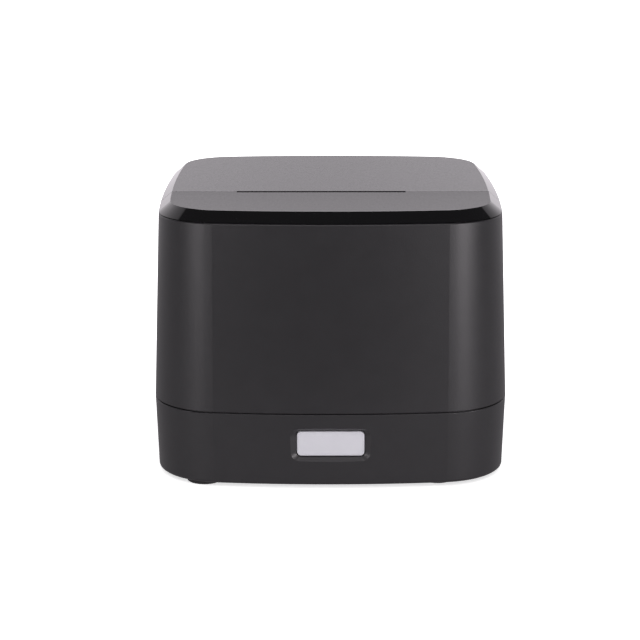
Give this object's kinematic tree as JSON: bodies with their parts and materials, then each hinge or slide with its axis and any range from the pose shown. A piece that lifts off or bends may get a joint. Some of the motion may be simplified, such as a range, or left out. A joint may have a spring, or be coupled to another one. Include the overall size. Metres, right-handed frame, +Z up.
{
  "type": "desktop receipt printer",
  "caption": "Cube-shaped thermal receipt printer with a drop-in paper bucket, rear-hinged lid, serrated paper slot and cutter, front key window and rear connector bay.",
  "frame": {"origin": "centre of the base, on the surface that the feet stand on, at the middle of the case in plan", "axes": "+Z up; -Y the front with the key window; +X to the right seen from the front; the lid hinge lies along X at the rear"},
  "size_m": [0.1694, 0.174, 0.1298],
  "materials": {
    "aluminium": "satin",
    "capacitor_can": "sleeved can",
    "case_plastic": "fine textured",
    "ceramic": "glazed ceramic",
    "chip_plastic": "moulded epoxy",
    "circuit_board": "solder mask",
    "copper": "gold flash",
    "flex_film": "polyimide film",
    "grey_plastic": "moulded",
    "key_plastic": "translucent white",
    "led_lens": "clear lens",
    "platen_rubber": "smooth",
    "rubber": "matte",
    "socket_plastic": "moulded",
    "steel": "zinc plated",
    "tool_steel": "ground",
    "top_plastic": "fine textured top, polished black rim",
    "white_plastic": "moulded acetal"
  },
  "bodies": {
    "base": {"lower_case": "case_plastic", "feet": "rubber", "case_screws": "steel", "upper_case": "case_plastic", "front_cap": "top_plastic", "tear_bar": "tool_steel", "paper_bucket": "grey_plastic", "hinge_pins": "steel", "deck_screws": "steel", "printer_frame": "steel", "frame_screws": "steel", "idler_stud": "steel", "feed_motor": "steel", "motor_screws": "steel", "cutter_plate": "steel", "cutter_motor": "steel", "head_springs": "steel", "latch_spring": "steel", "paper_sensor": "socket_plastic", "cover_switch": "socket_plastic", "main_board": "circuit_board", "board_screws": "steel", "board_chips": "chip_plastic", "board_capacitors": "capacitor_can", "board_headers": "white_plastic", "head_flex": "flex_film", "motor_cable": "white_plastic", "buzzer": "chip_plastic", "power_inlet": "socket_plastic", "usb_socket": "steel", "lan_socket": "steel", "drawer_socket": "socket_plastic", "power_switch": "socket_plastic", "connector_panel": "steel", "panel_screws": "steel", "key_board": "circuit_board", "key_switch": "chip_plastic", "status_leds": "led_lens", "key_board_screws": "steel"},
    "lid": {"lid_cover": "top_plastic", "lid_liner": "grey_plastic", "liner_screws": "steel", "fixed_blade": "tool_steel", "blade_screws": "steel", "platen_bushes": "white_plastic"},
    "platen": {"platen_roller": "platen_rubber", "platen_shaft": "steel", "platen_gear": "white_plastic"},
    "idler": {"idler_gear": "white_plastic"},
    "feed_pinion": {"feed_pinion": "white_plastic"},
    "head": {"head_sink": "aluminium", "head_ceramic": "ceramic"},
    "cutter": {"cutter_blade": "tool_steel", "cutter_racks": "white_plastic"},
    "cutter_shaft": {"cutter_shaft": "steel", "cutter_gears": "white_plastic"},
    "cutter_pinion": {"cutter_pinion": "copper"},
    "rocker": {"power_rocker": "socket_plastic"},
    "key": {"feed_key": "key_plastic"},
    "slider": {"release_slider": "case_plastic"}
  },
  "joints": [
    {"name": "lid_hinge", "type": "hinge", "parent": "base", "child": "lid", "pos_m": [0, 0.074, 0.1202], "axis": [-1, 0, 0], "range_deg": [0, 85], "deforming": ["latch_spring"]},
    {"name": "platen_spin", "type": "hinge", "parent": "lid", "child": "platen", "pos_m": [-0.0044, -0.017, 0.1062], "axis": [1, 0, 0], "continuous": true},
    {"name": "idler_spin", "type": "hinge", "parent": "base", "child": "idler", "pos_m": [0.0422, -0.01998, 0.08354], "axis": [1, 0, 0], "continuous": true},
    {"name": "feed_motor_spin", "type": "hinge", "parent": "base", "child": "feed_pinion", "pos_m": [0.0422, -0.03395, 0.07028], "axis": [1, 0, 0], "continuous": true},
    {"name": "head_lift", "type": "hinge", "parent": "base", "child": "head", "pos_m": [-0.0044, -0.02605, 0.0884], "axis": [1, 0, 0], "range_deg": [0, 3], "stiffness_Nm_per_rad": 2, "springref_deg": -5.73, "deforming": ["head_springs"]},
    {"name": "cutter_slide", "type": "slide", "parent": "base", "child": "cutter", "axis": [0, 1, 0], "range_m": [0, 0.012]},
    {"name": "cutter_shaft_spin", "type": "hinge", "parent": "base", "child": "cutter_shaft", "pos_m": [-0.0044, -0.05, 0.11067], "axis": [-1, 0, 0], "range_deg": [0, 144.24]},
    {"name": "cutter_motor_spin", "type": "hinge", "parent": "base", "child": "cutter_pinion", "pos_m": [0.0422, -0.05, 0.09861], "axis": [1, 0, 0], "range_deg": [0, 432.72]},
    {"name": "feed_key_press", "type": "slide", "parent": "base", "child": "key", "axis": [0, 1, 0], "range_m": [0, 0.0008], "stiffness_N_per_m": 500, "springref_m": -0.001},
    {"name": "power_rocker_tilt", "type": "hinge", "parent": "base", "child": "rocker", "pos_m": [0.0388, 0.075, 0.02015], "axis": [0, 0, 1], "range_deg": [0, 20]},
    {"name": "release_slide", "type": "slide", "parent": "base", "child": "slider", "axis": [0, -1, 0], "range_m": [0, 0.0035], "stiffness_N_per_m": 300, "springref_m": -0.002, "deforming": ["latch_spring"]}
  ],
  "couplings": [
    {"joint": "idler_spin", "follows": "platen_spin", "ratio": -0.52},
    {"joint": "feed_motor_spin", "follows": "platen_spin", "ratio": 1.8571},
    {"joint": "cutter_shaft_spin", "follows": "cutter_slide", "rad_per_m": 208.33},
    {"joint": "cutter_motor_spin", "follows": "cutter_slide", "rad_per_m": 625}
  ]
}
